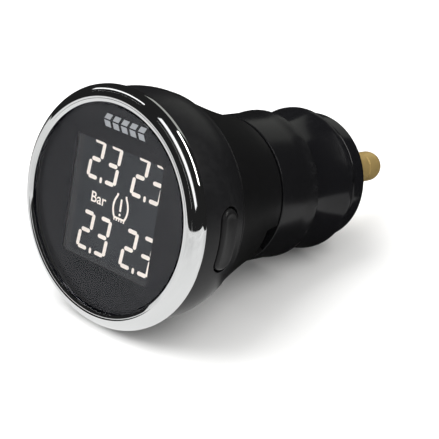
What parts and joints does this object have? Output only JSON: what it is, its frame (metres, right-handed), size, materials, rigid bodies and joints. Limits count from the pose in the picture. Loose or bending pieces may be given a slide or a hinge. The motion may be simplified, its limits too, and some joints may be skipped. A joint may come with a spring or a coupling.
{
  "type": "tyre pressure monitor",
  "caption": "Round tyre pressure display head on a power-socket plug, with a side button, a sprung side contact, and a screw-on nose cap that holds a fuse and a sprung pin.",
  "frame": {"origin": "on the plug's axis, in the plane of the socket's mouth, where the neck meets the barrel", "axes": "+Y along the plug into the socket, the display faces -Y, +Z is the display's up, +X is the side with the button"},
  "size_m": [0.0324, 0.0587, 0.0324],
  "materials": {
    "satin_black": "satin moulded black",
    "gloss_black": "polished black",
    "chrome": "bright plated",
    "smoked_window": "smoked, polished",
    "mask_grey": "matt print",
    "lcd_grey": "dark display glass",
    "diffuser_white": "milky",
    "frame_white": "matt white moulding",
    "rubber_black": "matt",
    "board_green": "solder mask",
    "chip_black": "matt",
    "tin": "tinned",
    "spring_steel": "drawn and plated",
    "brass": "turned, bright",
    "fuse_glass": "clear",
    "fibre_red": "vulcanised fibre",
    "holder_nylon": "natural nylon",
    "lead_red": "soft vinyl",
    "lead_black": "soft vinyl"
  },
  "bodies": {
    "monitor": {"chrome_bezel": "chrome", "window_lens": "smoked_window", "display_mask": "mask_grey", "window_gasket": "rubber_black", "lcd_frame": "frame_white", "lcd_panel": "lcd_grey", "light_guide": "diffuser_white", "zebra_connector": "rubber_black", "backlight_led": "diffuser_white", "main_board": "board_green", "board_screw_top": "tin", "board_screw_bottom": "tin", "controller_chip": "chip_black", "receiver_chip": "chip_black", "crystal_can": "tin", "filter_capacitor": "tin", "alarm_buzzer": "chip_black", "antenna_coil": "brass", "side_switch": "chip_black", "head_casing": "satin_black", "rear_cover": "satin_black", "plug_barrel": "gloss_black", "contact_spring": "spring_steel", "fuse_holder": "holder_nylon", "power_terminal": "tin", "power_lead": "lead_red", "ground_lead": "lead_black"},
    "button": {"side_button": "satin_black", "switch_plunger": "holder_nylon"},
    "side_contact": {"ground_contact": "spring_steel"},
    "nose_carrier": {"pin_washer": "fibre_red"},
    "nose_cap": {"nose_cap": "gloss_black"},
    "pin": {"contact_pin": "brass", "fuse_cap_front": "tin", "fuse_cap_rear": "tin", "fuse_tube": "fuse_glass", "fuse_wire": "tin"}
  },
  "joints": [
    {"name": "button_press", "type": "slide", "parent": "monitor", "child": "button", "axis": [-1, 0, 0], "range_m": [0, 0.0005], "stiffness_N_per_m": 3000, "springref_m": -0.0003},
    {"name": "ground_press", "type": "slide", "parent": "monitor", "child": "side_contact", "axis": [1, 0, 0], "range_m": [0, 0.0008], "stiffness_N_per_m": 3000, "springref_m": -0.0004},
    {"name": "nose_advance", "type": "slide", "parent": "monitor", "child": "nose_carrier", "axis": [0, 1, 0], "range_m": [0, 0.0051]},
    {"name": "nose_turn", "type": "hinge", "parent": "nose_carrier", "child": "nose_cap", "pos_m": [0, 0, 0], "axis": [0, 1, 0], "range_deg": [0, 1800]},
    {"name": "pin_press", "type": "slide", "parent": "nose_carrier", "child": "pin", "axis": [0, -1, 0], "range_m": [0, 0.003], "stiffness_N_per_m": 900, "springref_m": -0.003, "deforming": ["contact_spring"]}
  ],
  "couplings": [
    {"joint": "nose_advance", "follows": "nose_turn", "m_per_rad": 0.00015915}
  ]
}
